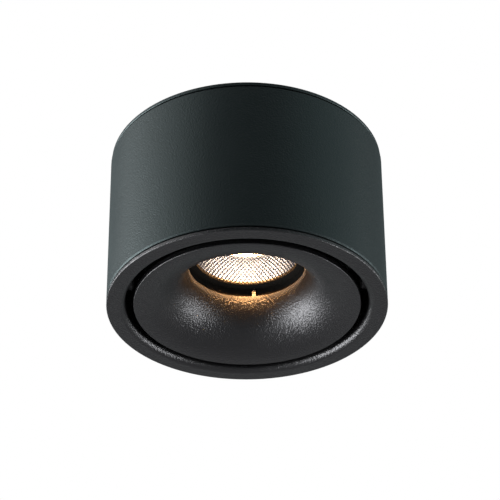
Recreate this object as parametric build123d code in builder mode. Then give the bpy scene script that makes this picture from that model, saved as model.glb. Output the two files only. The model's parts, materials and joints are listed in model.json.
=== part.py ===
from build123d import *

import os
from math import asin, cos, degrees, pi, radians, sin, sqrt, tan

# Surface-mounted cylinder ceiling light. Its LED head swivels in the tube and tilts in the ring.
# Origin at the centre of the ceiling face, +Z up, so the whole light hangs below it.

# Driving sizes in millimetres, angles in degrees
body_diameter = 95.0
overall_height = 60.0
edge_break = 0.4  # chamfer on sharp outer edges

# Clearances
seat_clearance = 0.05  # fixed piece in its seat
sliding_play = 0.1  # between flat faces that slide
pin_clearance = 0.06  # tilt shoulder in its lug, on the radius
swivel_clearance = 0.3  # ring collar in the tube, on the radius
rim_clearance = 0.65  # swinging rim inside the ring
head_clearance = 0.8  # swinging head below the driver

# Ceiling plate
plate_thickness = 1.2
plate_inset = 0.25  # plate edge behind the tube's wall
plate_gap = 0.6  # shadow line between plate and tube
slot_spacing = 72.0
slot_width = 4.5
slot_length = 9.0
ear_thickness = 1.3
ear_drop = 9.0
ear_span = 14.0
ear_gap = 0.2  # ear inside the tube's wall
ear_boss_radius = 3.2
ear_boss_depth = 2.0

# Side screws, at the back of the tube
side_screw_azimuth = 20.0  # from +X, mirrored to -X
side_screw_drop = 5.5  # below the plate's underside
side_screw_radius = 1.5
side_screw_head_radius = 2.8
side_screw_length = 6.0

# Cable inlet
cable_hole_radius = 6.0
cable_hole_inset = 12.5  # hole centre from the tube's inner wall
grommet_bore_radius = 3.6
grommet_flange_radius = 8.0
grommet_flange_thickness = 1.6

# Supply terminals
terminal_length = 30.0
terminal_depth = 12.0
terminal_height = 9.0
terminal_shoulder = 4.0  # height of the wide foot
terminal_taper = 2.2
terminal_gap = 2.5  # behind the driver
pole_pitch = 8.5
pole_count = 3
pole_groove = 0.9
pole_groove_depth = 2.6
wire_entry_radius = 1.7
screw_well_radius = 2.0
screw_well_depth = 4.2
terminal_screw_length = 2.6
terminal_peg_radius = 1.6
earth_x = 27.0
earth_screw_radius = 1.9
earth_head_radius = 3.4
earth_head_height = 2.2

# LED driver
driver_length = 58.0
driver_width = 34.0
driver_height = 10.0
driver_front_y = -28.0
driver_corner = 3.0
driver_wall = 1.2
lid_thickness = 1.2
lid_lip_height = 1.0
board_length = 46.0
board_margin = 2.0  # board edge to the case's inner wall, across the width
board_thickness = 1.0
standoff_height = 1.6
standoff_radius = 1.8
standoff_inset = 3.0  # standoff centre from the board's corner
driver_boss_radius = 2.2
driver_screw_radius = 1.4
driver_screw_head_radius = 2.4
driver_screw_length = 5.0
transformer_size = (14.0, 12.0, 4.4)
inductor_radius = 4.2
inductor_height = 3.6
capacitor_radius = 2.1
capacitor_length = 9.0

# Housing tube
tube_wall = 2.0
lip_width = 1.2  # inward lip that carries the swivel ring
lip_height = 4.0
seam_gap = 0.8  # shadow seam between tube and ring
seam_inset = 1.0  # glide washer behind the tube's wall
friction_thickness = 0.8

# Swivel ring
ring_flange = 1.2
ring_collar_wall = 2.9
ring_inner_fillet = 2.1
retaining_thickness = 1.0
groove_depth = 0.8
retaining_mouth = 9.0  # opening of the circlip
retaining_eye_radius = 0.7
stop_width = 4.0
stop_height = 3.2
stop_overlap = 1.6  # tube stop across the ring's stop lug

# Tilt hinge, along X
pivot_height = 13.5  # above the ring's face
pad_radius = 5.0
pad_margin = 1.0
washer_thickness = 0.8
washer_radius = 4.6
shoulder_radius = 2.0
pivot_head_radius = 3.6
pivot_tail = 0.6  # screw end past the lug
lug_width = 10.0
lug_thickness = 3.0
gusset_thickness = 2.4
gusset_reach = 9.0
gusset_top_drop = 6.0  # below the tilt axis

# Trim funnel
rim_recess = 0.8  # rim above the ring's face
rim_flat = 0.4
rim_edge = 0.3
funnel_wall = 1.8
funnel_depth = 16.8
throat_radius = 20.0
post_count = 3
post_radius = 3.2
post_gap = 0.55  # between the collar's skirt and the posts

# Reflector collar
collar_height = 4.25
collar_lip = 0.55
collar_wall = 1.2
skirt_drop = 2.0
skirt_clearance = 0.1
rib_azimuth = 83.4
rib_width = 1.1
rib_rise = 3.6
rib_depth = 0.9
rib_inset = 0.1  # rib behind the throat's edge
rib_foot = 0.4  # rib's root in the funnel's wall

# Reflector
mouth_inset = 1.85  # reflector's mouth inside the throat
bowl_curve = 50.0  # radius of the faceted wall's barrel curve
mirror_band = 4.1  # smooth wall above the facets
band_step = 0.3  # smooth wall inside the facets
band_taper = 9.0  # lean of the smooth wall, in degrees
neck_radius = 6.0
reflector_wall = 1.0
reflector_flange = 1.0
facet_count = 48  # facets round the cup

# LED and its holder
phosphor_radius = 5.0
phosphor_thickness = 0.7
led_board_size = 19.0
led_board_thickness = 1.2
thermal_pad_thickness = 0.3
holder_height = 2.75
holder_opening_margin = 0.3  # opening outside the reflector's neck
holder_flare = 0.8
holder_screw_circle = 16.0
holder_screw_radius = 1.2
holder_head_radius = 2.2
holder_screw_length = 5.2

# Heat sink
sink_corner = 1.4  # wall between the cavity's edge and the dome
sink_base = 3.2
cup_wall = 2.0
cavity_margin = 1.25  # cavity outside the reflector
sink_ear = 3.0
sink_ear_radius = 3.6
fin_reach = 4.6  # fins outside the cup
fin_count = 24
fin_slot = 4.2
crown_slot = 2.6
crown_pitch = 4.4
crown_slots = 7
sink_screw_radius = 1.5
sink_screw_head_radius = 2.75
sink_screw_head_height = 2.0
sink_screw_length = 11.0

# Levels up from the face of the ring
face_z = -overall_height
ring_top_z = face_z + ring_flange
tube_bottom_z = ring_top_z + seam_gap
lip_top_z = tube_bottom_z + lip_height
friction_top_z = lip_top_z + friction_thickness
retaining_z = friction_top_z + sliding_play
pivot_z = face_z + pivot_height
ring_collar_top_z = pivot_z + pad_radius + pad_margin
rim_face_z = face_z + rim_recess
rim_back_z = rim_face_z + funnel_wall
throat_z = rim_face_z + funnel_depth
mouth_z = throat_z + collar_height
seat_z = mouth_z + reflector_flange + sliding_play

# Radii from the tube inwards
tube_radius = body_diameter / 2
plate_radius = tube_radius - plate_inset
tube_inner = tube_radius - tube_wall
lip_bore = tube_inner - lip_width
ring_collar_radius = lip_bore - swivel_clearance
ring_bore = ring_collar_radius - ring_collar_wall
rim_radius = sqrt((ring_bore - rim_clearance) ** 2 - (pivot_height - rim_recess) ** 2)
bell_centre_radius = rim_radius - rim_flat
bell_radius = bell_centre_radius - throat_radius
mouth_radius = throat_radius - mouth_inset
cavity_radius = mouth_radius + reflector_wall + cavity_margin
cup_radius = cavity_radius + cup_wall
fin_radius = cup_radius + fin_reach

# Levels down from the ceiling; the heat sink's dome swings about the tilt axis, clear of the driver
plate_bottom_z = -plate_thickness
tube_top_z = plate_bottom_z - plate_gap
driver_bottom_z = plate_bottom_z - driver_height
sink_top_z = driver_bottom_z - head_clearance
dome_radius = sink_top_z - pivot_z
sink_base_z = pivot_z + sqrt((dome_radius - sink_corner) ** 2 - cavity_radius**2)
pad_bottom_z = sink_base_z - thermal_pad_thickness
led_bottom_z = pad_bottom_z - led_board_thickness
holder_bottom_z = sink_base_z - holder_height
bowl_top_z = holder_bottom_z - reflector_wall
band_bottom_z = bowl_top_z - mirror_band

# Tilt hinge along X
lug_face_x = sqrt(rim_radius**2 - (lug_width / 2) ** 2)
lug_inner_x = lug_face_x - lug_thickness
pad_face_x = lug_face_x + sliding_play + washer_thickness
pivot_head_x = sqrt(ring_collar_radius**2 - pivot_head_radius**2)
pivot_screw_length = pivot_head_x - lug_inner_x + pivot_tail

# Places on the ceiling plate
side_screw_azimuths = (side_screw_azimuth, 180 - side_screw_azimuth)
side_screw_z = plate_bottom_z - side_screw_drop
side_screw_face = sqrt(tube_radius**2 - side_screw_head_radius**2)
ear_radius = tube_inner - ear_gap
cable_y = tube_inner - cable_hole_inset
driver_y = driver_front_y + driver_width / 2
driver_screw_x = board_length / 2 + driver_boss_radius + seat_clearance
terminal_y = driver_front_y + driver_width + terminal_gap + terminal_depth / 2
terminal_bottom_z = plate_bottom_z - terminal_height
earth_y = terminal_y

# Fasteners
COUNTERSINK = 90  # full angle of every countersunk head
SOCKET_SHARE = 0.75  # hexagon socket's corners over the screw's radius
SLOT_SHARE = 0.35  # screwdriver slot's width and depth over the head's radius and height


def meridian_plane(azimuth):
    """Upright plane through the Z axis: local x runs outwards, local y up."""
    turn = radians(azimuth)
    return Plane(origin=(0, 0, 0), x_dir=(cos(turn), sin(turn), 0), z_dir=(sin(turn), -cos(turn), 0))


def radial_plane(radius, azimuth, height):
    """Upright plane that faces outwards at a radius."""
    turn = radians(azimuth)
    origin = (radius * cos(turn), radius * sin(turn), height)
    return Plane(origin=origin, x_dir=(-sin(turn), cos(turn), 0), z_dir=(cos(turn), sin(turn), 0))


def bell_back_radius(height):
    """Radius of the funnel's back at a height below the throat."""
    drop = (throat_z - height) / (funnel_depth - funnel_wall)
    return bell_centre_radius - (bell_radius - funnel_wall) * sqrt(1 - drop**2)


def washer(inner_radius, outer_radius, bottom_z, top_z):
    """Flat ring about the Z axis."""
    with BuildPart() as ring:
        with BuildSketch(Plane.XY.offset(bottom_z)):
            Circle(outer_radius)
            Circle(inner_radius, mode=Mode.SUBTRACT)
        extrude(amount=top_z - bottom_z)
    return ring.part


def countersunk_screw(radius, head_radius, length):
    """Countersunk screw with a hexagon socket: head face at the origin, tip along -Z."""
    head_depth = head_radius - radius
    with BuildPart() as screw:
        with BuildSketch(Plane.XZ):
            with BuildLine():
                Polyline(
                    (0, 0),
                    (head_radius, 0),
                    (radius, -head_depth),
                    (radius, -length),
                    (0, -length),
                    close=True,
                )
            make_face()
        revolve(axis=Axis.Z)
        with BuildSketch():
            RegularPolygon(radius * SOCKET_SHARE, 6)
        extrude(amount=-head_depth, mode=Mode.SUBTRACT)
    return screw.part


def pan_screw(radius, head_radius, head_height, length):
    """Pan-head screw with a slot: underside of the head at the origin, tip along -Z."""
    with BuildPart() as screw:
        Cylinder(radius, length, align=(Align.CENTER, Align.CENTER, Align.MAX))
        Cylinder(head_radius, head_height, align=(Align.CENTER, Align.CENTER, Align.MIN))
        fillet(screw.edges().group_by(Axis.Z)[-1], head_height * SLOT_SHARE)
        with BuildSketch(Plane.XY.offset(head_height)):
            Rectangle(2 * head_radius, head_radius * SLOT_SHARE)
        extrude(amount=-head_height * SLOT_SHARE, mode=Mode.SUBTRACT)
    return screw.part


# Ceiling plate: disc with two keyed slots, the cable hole and two rolled ears for the tube
with BuildPart() as ceiling_plate:
    with BuildSketch():
        Circle(plate_radius)
        with GridLocations(slot_spacing, slot_spacing, 2, 1):
            SlotOverall(slot_length, slot_width, mode=Mode.SUBTRACT)
        with Locations((0, cable_y)):
            Circle(cable_hole_radius, mode=Mode.SUBTRACT)
        with Locations((earth_x, earth_y)):
            Circle(earth_screw_radius + seat_clearance, mode=Mode.SUBTRACT)
        with Locations((-pole_pitch / 2, terminal_y), (pole_pitch / 2, terminal_y)):
            Circle(terminal_peg_radius + seat_clearance, mode=Mode.SUBTRACT)
    extrude(amount=-plate_thickness)
    chamfer(ceiling_plate.edges().filter_by(GeomType.CIRCLE).sort_by(SortBy.RADIUS)[-2:], edge_break / 2)
    with Locations((-driver_screw_x, driver_y), (driver_screw_x, driver_y)):
        CounterSinkHole(
            driver_screw_radius + seat_clearance,
            driver_screw_head_radius + seat_clearance,
            depth=2 * plate_thickness,
            counter_sink_angle=COUNTERSINK,
        )
    for azimuth in side_screw_azimuths:
        with BuildSketch(meridian_plane(azimuth - ear_span / 2)):
            with Locations((ear_radius - ear_thickness / 2, plate_bottom_z - ear_drop / 2)):
                Rectangle(ear_thickness, ear_drop)
        revolve(axis=Axis.Z, revolution_arc=ear_span)
        with BuildSketch(radial_plane(ear_radius - ear_thickness / 2, azimuth, side_screw_z)):
            Circle(ear_boss_radius)
        extrude(amount=-ear_thickness / 2 - ear_boss_depth)
        with Locations(radial_plane(ear_radius, azimuth, side_screw_z)):
            Hole(side_screw_radius + seat_clearance, depth=2 * ear_thickness + ear_boss_depth)
ceiling_plate.part.label = "ceiling_plate"
export_step(ceiling_plate.part, "parts/ceiling_plate.step")

# Cable grommet, flush with the ceiling face and flanged below the plate
with BuildPart() as cable_grommet:
    with BuildSketch(Plane.XZ.offset(-cable_y)):
        with BuildLine():
            Polyline(
                (grommet_bore_radius, 0),
                (cable_hole_radius - seat_clearance, 0),
                (cable_hole_radius - seat_clearance, plate_bottom_z),
                (grommet_flange_radius, plate_bottom_z),
                (grommet_flange_radius, plate_bottom_z - grommet_flange_thickness),
                (grommet_bore_radius, plate_bottom_z - grommet_flange_thickness),
                close=True,
            )
        make_face()
    revolve(axis=Axis((0, cable_y, 0), (0, 0, 1)))
    fillet(
        cable_grommet.edges().group_by(Axis.Z)[0].sort_by(SortBy.RADIUS)[-1],
        grommet_flange_thickness / 2,
    )
cable_grommet.part.label = "cable_grommet"
export_step(cable_grommet.part, "parts/cable_grommet.step")

# Terminal block with wire entries, screw wells and pegs through the plate
with BuildPart() as terminal_block:
    foot = terminal_depth / 2
    crown = terminal_depth / 2 - terminal_taper
    with BuildSketch(Plane.YZ):
        with BuildLine():
            Polyline(
                (terminal_y - foot, plate_bottom_z),
                (terminal_y + foot, plate_bottom_z),
                (terminal_y + foot, plate_bottom_z - terminal_shoulder),
                (terminal_y + crown, terminal_bottom_z),
                (terminal_y - crown, terminal_bottom_z),
                (terminal_y - foot, plate_bottom_z - terminal_shoulder),
                close=True,
            )
        make_face()
    extrude(amount=terminal_length / 2, both=True)
    with Locations(Plane(origin=(0, terminal_y, plate_bottom_z - terminal_shoulder / 2), z_dir=(0, 1, 0))):
        with GridLocations(pole_pitch, pole_pitch, pole_count, 1):
            Hole(wire_entry_radius)
    with Locations(Plane(origin=(0, terminal_y, terminal_bottom_z), z_dir=(0, 0, -1))):
        with GridLocations(pole_pitch, pole_pitch, pole_count, 1):
            Hole(screw_well_radius, depth=screw_well_depth)
    with BuildSketch(Plane.XY.offset(terminal_bottom_z)):
        with Locations((0, terminal_y)):
            with GridLocations(pole_pitch, pole_pitch, pole_count - 1, 1):
                Rectangle(pole_groove, terminal_depth)
    extrude(amount=pole_groove_depth, mode=Mode.SUBTRACT)
    with BuildSketch(Plane.XY.offset(plate_bottom_z)):
        with Locations((-pole_pitch / 2, terminal_y), (pole_pitch / 2, terminal_y)):
            Circle(terminal_peg_radius)
    extrude(amount=plate_thickness)
terminal_block.part.label = "terminal_block"
export_step(terminal_block.part, "parts/terminal_block.step")

# Slotted clamp screws at the bottom of the wells
with BuildPart() as terminal_screws:
    with BuildSketch(Plane.XY.offset(terminal_bottom_z + screw_well_depth)):
        with Locations((0, terminal_y)):
            with GridLocations(pole_pitch, pole_pitch, pole_count, 1):
                Circle(screw_well_radius - seat_clearance)
    extrude(amount=-terminal_screw_length)
    with BuildSketch(Plane.XY.offset(terminal_bottom_z + screw_well_depth - terminal_screw_length)):
        with Locations((0, terminal_y)):
            with GridLocations(pole_pitch, pole_pitch, pole_count, 1):
                Rectangle(2 * screw_well_radius, screw_well_radius * SLOT_SHARE)
    extrude(amount=terminal_screw_length * SLOT_SHARE, mode=Mode.SUBTRACT)
terminal_screws.part.label = "terminal_screws"
export_step(terminal_screws.part, "parts/terminal_screws.step")

# Earth screw under the plate, its tip flush with the ceiling face
earth_terminal = pan_screw(earth_screw_radius, earth_head_radius, earth_head_height, plate_thickness)
with BuildPart() as earth_screw:
    with Locations(Plane(origin=(earth_x, earth_y, plate_bottom_z), z_dir=(0, 0, -1))):
        add(earth_terminal)
earth_screw.part.label = "earth_screw"
export_step(earth_screw.part, "parts/earth_screw.step")

# Driver case: tray against the plate, open below, with standoffs and two screw bosses
case_height = driver_height - lid_thickness
case_floor_z = plate_bottom_z - driver_wall
board_width = driver_width - 2 * driver_wall - 2 * board_margin
standoff_pitch_x = board_length - 2 * standoff_inset
standoff_pitch_y = board_width - 2 * standoff_inset
with BuildPart() as driver_case:
    with BuildSketch(Plane.XY.offset(plate_bottom_z)):
        with Locations((0, driver_y)):
            RectangleRounded(driver_length, driver_width, driver_corner)
    extrude(amount=-case_height)
    with BuildSketch(Plane.XY.offset(case_floor_z)):
        with Locations((0, driver_y)):
            RectangleRounded(
                driver_length - 2 * driver_wall,
                driver_width - 2 * driver_wall,
                driver_corner - driver_wall,
            )
    extrude(amount=-case_height, mode=Mode.SUBTRACT)
    with BuildSketch(Plane.XY.offset(case_floor_z)):
        with Locations((0, driver_y)):
            with GridLocations(standoff_pitch_x, standoff_pitch_y, 2, 2):
                Circle(standoff_radius)
    extrude(amount=-standoff_height)
    with BuildSketch(Plane.XY.offset(case_floor_z)):
        with Locations((-driver_screw_x, driver_y), (driver_screw_x, driver_y)):
            Circle(driver_boss_radius)
    extrude(amount=-driver_screw_length)
    with Locations((-driver_screw_x, driver_y, plate_bottom_z), (driver_screw_x, driver_y, plate_bottom_z)):
        Hole(driver_screw_radius + seat_clearance, depth=driver_screw_length)
driver_case.part.label = "driver_case"
export_step(driver_case.part, "parts/driver_case.step")

# Driver lid with a locating lip inside the case
with BuildPart() as driver_lid:
    with BuildSketch(Plane.XY.offset(driver_bottom_z)):
        with Locations((0, driver_y)):
            RectangleRounded(driver_length, driver_width, driver_corner)
    extrude(amount=lid_thickness)
    chamfer(driver_lid.edges().group_by(Axis.Z)[0], edge_break)
    lip_length = driver_length - 2 * driver_wall - 2 * seat_clearance
    lip_span = driver_width - 2 * driver_wall - 2 * seat_clearance
    with BuildSketch(Plane.XY.offset(driver_bottom_z + lid_thickness)):
        with Locations((0, driver_y)):
            RectangleRounded(lip_length, lip_span, driver_corner - driver_wall)
            Rectangle(lip_length - 2 * driver_wall, lip_span - 2 * driver_wall, mode=Mode.SUBTRACT)
    extrude(amount=lid_lip_height)
driver_lid.part.label = "driver_lid"
export_step(driver_lid.part, "parts/driver_lid.step")

# Populated driver board on the standoffs
board_top_z = case_floor_z - standoff_height
board_bottom_z = board_top_z - board_thickness
with BuildPart() as driver_board:
    with BuildSketch(Plane.XY.offset(board_top_z)):
        with Locations((0, driver_y)):
            Rectangle(board_length, board_width)
    extrude(amount=-board_thickness)
    with BuildSketch(Plane.XY.offset(board_bottom_z)):
        with Locations((0, driver_y)):
            RectangleRounded(transformer_size[0], transformer_size[1], board_thickness)
    extrude(amount=-transformer_size[2])
    with BuildSketch(Plane.XY.offset(board_bottom_z)):
        with Locations((board_length / 2 - 2 * inductor_radius, driver_y)):
            Circle(inductor_radius)
    extrude(amount=-inductor_height)
    with BuildSketch(Plane.YZ.offset(-board_length / 2 + standoff_inset)):
        for offset_y in (-1.5 * capacitor_radius, 1.5 * capacitor_radius):
            with Locations((driver_y + offset_y, board_bottom_z - capacitor_radius)):
                Circle(capacitor_radius)
    extrude(amount=capacitor_length)
    with BuildSketch(Plane.YZ.offset(-board_length / 2 + standoff_inset)):
        for offset_y in (-1.5 * capacitor_radius, 1.5 * capacitor_radius):
            with Locations((driver_y + offset_y, board_bottom_z)):
                Rectangle(capacitor_radius, capacitor_radius)
    extrude(amount=capacitor_length)
driver_board.part.label = "driver_board"
export_step(driver_board.part, "parts/driver_board.step")

# Countersunk screws from the ceiling side into the driver case
driver_screw = countersunk_screw(driver_screw_radius, driver_screw_head_radius, driver_screw_length)
with BuildPart() as driver_screws:
    with Locations((-driver_screw_x, driver_y, 0), (driver_screw_x, driver_y, 0)):
        add(driver_screw)
driver_screws.part.label = "driver_screws"
export_step(driver_screws.part, "parts/driver_screws.step")

# Housing tube with the inward lip that carries the ring, and the swivel stop at the back
stop_bottom_z = ring_collar_top_z + swivel_clearance
with BuildPart() as housing_tube:
    with BuildSketch(Plane.XZ):
        with BuildLine():
            Polyline(
                (tube_inner, tube_top_z),
                (tube_radius, tube_top_z),
                (tube_radius, tube_bottom_z),
                (lip_bore, tube_bottom_z),
                (lip_bore, lip_top_z),
                (tube_inner, lip_top_z),
                close=True,
            )
        make_face()
    revolve(axis=Axis.Z)
    outer_edges = housing_tube.edges().filter_by(GeomType.CIRCLE).sort_by(SortBy.RADIUS)[-2:]
    chamfer(outer_edges, edge_break)
    with BuildSketch(Plane.XY.offset(stop_bottom_z)):
        Circle(tube_inner + tube_wall / 2)
        Circle(ring_collar_radius - stop_overlap, mode=Mode.SUBTRACT)
        with Locations((0, tube_radius)):
            Rectangle(stop_width, 2 * tube_wall + 4 * stop_overlap, mode=Mode.INTERSECT)
    extrude(amount=stop_height)
    for azimuth in side_screw_azimuths:
        with Locations(radial_plane(side_screw_face, azimuth, side_screw_z)):
            CounterSinkHole(
                side_screw_radius + seat_clearance,
                side_screw_head_radius + seat_clearance,
                depth=2 * tube_wall,
                counter_sink_angle=COUNTERSINK,
            )
housing_tube.part.label = "housing_tube"
export_step(housing_tube.part, "parts/housing_tube.step")

# Countersunk screws through the tube into the plate's ears
side_screw = countersunk_screw(side_screw_radius, side_screw_head_radius, side_screw_length)
with BuildPart() as side_screws:
    for azimuth in side_screw_azimuths:
        with Locations(radial_plane(side_screw_face, azimuth, side_screw_z)):
            add(side_screw)
side_screws.part.label = "side_screws"
export_step(side_screws.part, "parts/side_screws.step")

# Glide washer in the seam and friction ring on the lip
glide_washer = washer(lip_bore, tube_radius - seam_inset, ring_top_z + sliding_play, tube_bottom_z)
glide_washer.label = "glide_washer"
export_step(glide_washer, "parts/glide_washer.step")
friction_ring = washer(lip_bore, tube_inner - seat_clearance, lip_top_z, friction_top_z)
friction_ring.label = "friction_ring"
export_step(friction_ring, "parts/friction_ring.step")

# Swivel ring: flange below the tube, collar up through the lip, pads and holes for the tilt hinge
groove_radius = ring_collar_radius - groove_depth
with BuildPart() as swivel_ring:
    with BuildSketch(Plane.XZ):
        with BuildLine():
            rounding = CenterArc(
                (ring_bore + ring_inner_fillet, face_z + ring_inner_fillet), ring_inner_fillet, 180, 90
            )
            Polyline(
                rounding @ 1,
                (tube_radius, face_z),
                (tube_radius, ring_top_z),
                (ring_collar_radius, ring_top_z),
                (ring_collar_radius, ring_collar_top_z),
                (ring_bore, ring_collar_top_z),
                rounding @ 0,
            )
        make_face()
    revolve(axis=Axis.Z)
    chamfer(swivel_ring.edges().filter_by(GeomType.CIRCLE).sort_by(SortBy.RADIUS)[-2:], edge_break / 2)
    with BuildSketch(Plane.XY.offset(retaining_z - seat_clearance)):
        Circle(tube_radius)
        Circle(groove_radius, mode=Mode.SUBTRACT)
    extrude(amount=retaining_thickness + 2 * seat_clearance, mode=Mode.SUBTRACT)
    with BuildSketch(Plane.XY.offset(ring_collar_top_z)):
        Circle(ring_collar_radius)
        Circle(ring_bore, mode=Mode.SUBTRACT)
        with Locations((0, -ring_bore)):
            Rectangle(stop_width, 4 * ring_collar_wall, mode=Mode.INTERSECT)
    extrude(amount=stop_height)
    for side in (1, -1):
        with BuildSketch(Plane.YZ.offset(side * pad_face_x)):
            with Locations((0, pivot_z)):
                Circle(pad_radius)
        extrude(amount=side * (ring_bore + ring_collar_wall / 2 - pad_face_x))
    for azimuth in (0, 180):
        with Locations(radial_plane(pivot_head_x, azimuth, pivot_z)):
            CounterSinkHole(
                shoulder_radius + seat_clearance,
                pivot_head_radius + seat_clearance,
                depth=pivot_screw_length,
                counter_sink_angle=COUNTERSINK,
            )
swivel_ring.part.label = "swivel_ring"
export_step(swivel_ring.part, "parts/swivel_ring.step")

# Retaining ring: circlip in the collar's groove, open at the front, with a plier eye at each end
retaining_middle = (groove_radius + seat_clearance + tube_inner - swivel_clearance) / 2
with BuildPart() as retaining_ring:
    with BuildSketch(Plane.XY.offset(retaining_z)):
        Circle(tube_inner - swivel_clearance)
        Circle(groove_radius + seat_clearance, mode=Mode.SUBTRACT)
        with Locations((0, -retaining_middle)):
            Rectangle(retaining_mouth, 4 * groove_depth, mode=Mode.SUBTRACT)
        eye_angle = retaining_mouth / retaining_middle
        for turn in (-eye_angle, eye_angle):
            with Locations((retaining_middle * sin(turn), -retaining_middle * cos(turn))):
                Circle(retaining_eye_radius, mode=Mode.SUBTRACT)
    extrude(amount=retaining_thickness)
retaining_ring.part.label = "retaining_ring"
export_step(retaining_ring.part, "parts/retaining_ring.step")

# Shoulder screws of the tilt hinge, threaded in the ring's pads
pivot_screw = countersunk_screw(shoulder_radius, pivot_head_radius, pivot_screw_length)
with BuildPart() as pivot_screws:
    for azimuth in (0, 180):
        with Locations(radial_plane(pivot_head_x, azimuth, pivot_z)):
            add(pivot_screw)
pivot_screws.part.label = "pivot_screws"
export_step(pivot_screws.part, "parts/pivot_screws.step")

# Tilt washers between the ring's pads and the funnel's lugs
with BuildPart() as tilt_washers:
    for side in (1, -1):
        with BuildSketch(Plane.YZ.offset(side * pad_face_x)):
            with Locations((0, pivot_z)):
                Circle(washer_radius)
                Circle(shoulder_radius + seat_clearance, mode=Mode.SUBTRACT)
        extrude(amount=-side * washer_thickness)
tilt_washers.part.label = "tilt_washers"
export_step(tilt_washers.part, "parts/tilt_washers.step")

# Trim funnel: trumpet bell with a locating rib on its throat, and hinge lugs, gussets and posts behind it
skirt_inner = bell_back_radius(throat_z - skirt_drop) + skirt_clearance
skirt_radius = skirt_inner + collar_wall
post_circle_radius = skirt_radius + post_gap + post_radius
with BuildPart() as trim_funnel:
    for side in (1, -1):
        with BuildSketch(Plane.YZ.offset(side * lug_inner_x)):
            with Locations((0, pivot_z)):
                Circle(lug_width / 2)
            with Locations((0, (rim_face_z + pivot_z) / 2)):
                Rectangle(lug_width, pivot_z - rim_face_z)
            with Locations((0, pivot_z)):
                Circle(shoulder_radius + pin_clearance, mode=Mode.SUBTRACT)
        extrude(amount=side * lug_thickness)
        with BuildSketch(Plane.XZ):
            with BuildLine():
                Polyline(
                    (side * (lug_inner_x + lug_thickness / 2), pivot_z - gusset_top_drop),
                    (side * lug_inner_x, pivot_z - gusset_top_drop),
                    (side * (lug_inner_x - gusset_reach), rim_face_z),
                    (side * (lug_inner_x + lug_thickness / 2), rim_face_z),
                    close=True,
                )
            make_face()
        extrude(amount=gusset_thickness / 2, both=True)
    with BuildSketch(Plane.XY.offset(rim_face_z)):
        with PolarLocations(post_circle_radius, post_count, start_angle=90):
            Circle(post_radius)
    extrude(amount=seat_z - rim_face_z)
    with BuildSketch(Plane.XZ):
        with BuildLine():
            front = EllipticalCenterArc(
                (bell_centre_radius, throat_z), bell_radius, funnel_depth, start_angle=180, arc_size=90
            )
            back = EllipticalCenterArc(
                (bell_centre_radius, throat_z),
                bell_radius - funnel_wall,
                funnel_depth - funnel_wall,
                start_angle=180,
                arc_size=90,
            )
            Polyline(front @ 1, (rim_radius, rim_face_z), (rim_radius, rim_back_z), back @ 1)
            Line(back @ 0, front @ 0)
        make_face()
    revolve(axis=Axis.Z)
    # the air inside the bell trims the lugs, gussets and posts flush with its front
    with BuildSketch(Plane.XZ):
        with BuildLine():
            bell = EllipticalCenterArc(
                (bell_centre_radius, throat_z), bell_radius, funnel_depth, start_angle=180, arc_size=90
            )
            Polyline(
                bell @ 1,
                (bell_centre_radius, rim_face_z - funnel_wall),
                (0, rim_face_z - funnel_wall),
                (0, throat_z),
                bell @ 0,
            )
        make_face()
    revolve(axis=Axis.Z, mode=Mode.SUBTRACT)
    face_circles = trim_funnel.edges().filter_by(GeomType.CIRCLE).group_by(Axis.Z)[0]
    fillet(face_circles.sort_by(SortBy.RADIUS)[-1], rim_edge)
    with Locations(Plane.XY.offset(seat_z)):
        with PolarLocations(post_circle_radius, post_count, start_angle=90):
            Hole(sink_screw_radius + seat_clearance, depth=sink_screw_length)
    # the rib stands on the throat's edge
    with BuildSketch(radial_plane(throat_radius + rib_inset, rib_azimuth, throat_z)):
        SlotOverall(2 * rib_rise, rib_width, rotation=90)
        with Locations((0, -rib_rise - rib_foot)):
            Rectangle(2 * rib_width, 2 * rib_rise, mode=Mode.SUBTRACT)
    extrude(amount=rib_depth)
trim_funnel.part.label = "trim_funnel"
export_step(trim_funnel.part, "parts/trim_funnel.step")

# Reflector collar: black band set back from the throat, with a skirt round the bell
flange_radius = throat_radius + funnel_wall
recess_radius = throat_radius + rib_inset + rib_depth + seat_clearance
with BuildPart() as reflector_collar:
    with BuildSketch(Plane.XZ):
        with BuildLine():
            Polyline(
                (recess_radius, throat_z),
                (recess_radius, mouth_z - collar_lip),
                (mouth_radius, mouth_z - collar_lip),
                (mouth_radius, mouth_z),
                (flange_radius + seat_clearance, mouth_z),
                (flange_radius + seat_clearance, seat_z),
                (skirt_radius, seat_z),
                (skirt_radius, throat_z - skirt_drop),
                (skirt_inner, throat_z - skirt_drop),
                (skirt_inner, throat_z),
                close=True,
            )
        make_face()
    revolve(axis=Axis.Z)
reflector_collar.part.label = "reflector_collar"
export_step(reflector_collar.part, "parts/reflector_collar.step")

# Reflector: a deep bowl, its barrel-shaped wall of flat diamond facets, with a smooth mirror band above.
# Each diamond has its tips two levels apart and its corners on the level between. It is flat when the
# middle of its corners lies on the chord between its tips, which gives every level from the two before.
half_pitch = pi / facet_count
barrel_centre = mouth_radius - bowl_curve


def barrel_radius_at(height):
    """Radius of the barrel on which the facet corners lie."""
    return barrel_centre + sqrt(bowl_curve**2 - (height - mouth_z) ** 2)


def facet_levels():
    """Radius and height of each ring of facet corners, from the mouth to past the mirror band's foot."""
    first_z = mouth_z + half_pitch * sqrt(mouth_radius * bowl_curve)
    levels = [(mouth_radius, mouth_z), (barrel_radius_at(first_z), first_z)]
    while levels[-2][1] <= band_bottom_z:
        (low_radius, low_z), (mid_radius, mid_z) = levels[-2:]
        run = mid_radius * cos(half_pitch) - low_radius
        rise = mid_z - low_z
        drift = (low_radius - barrel_centre) * run + (low_z - mouth_z) * rise
        reach = -2 * drift / (run**2 + rise**2)
        levels.append((low_radius + reach * run, low_z + reach * rise))
    return levels


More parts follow.
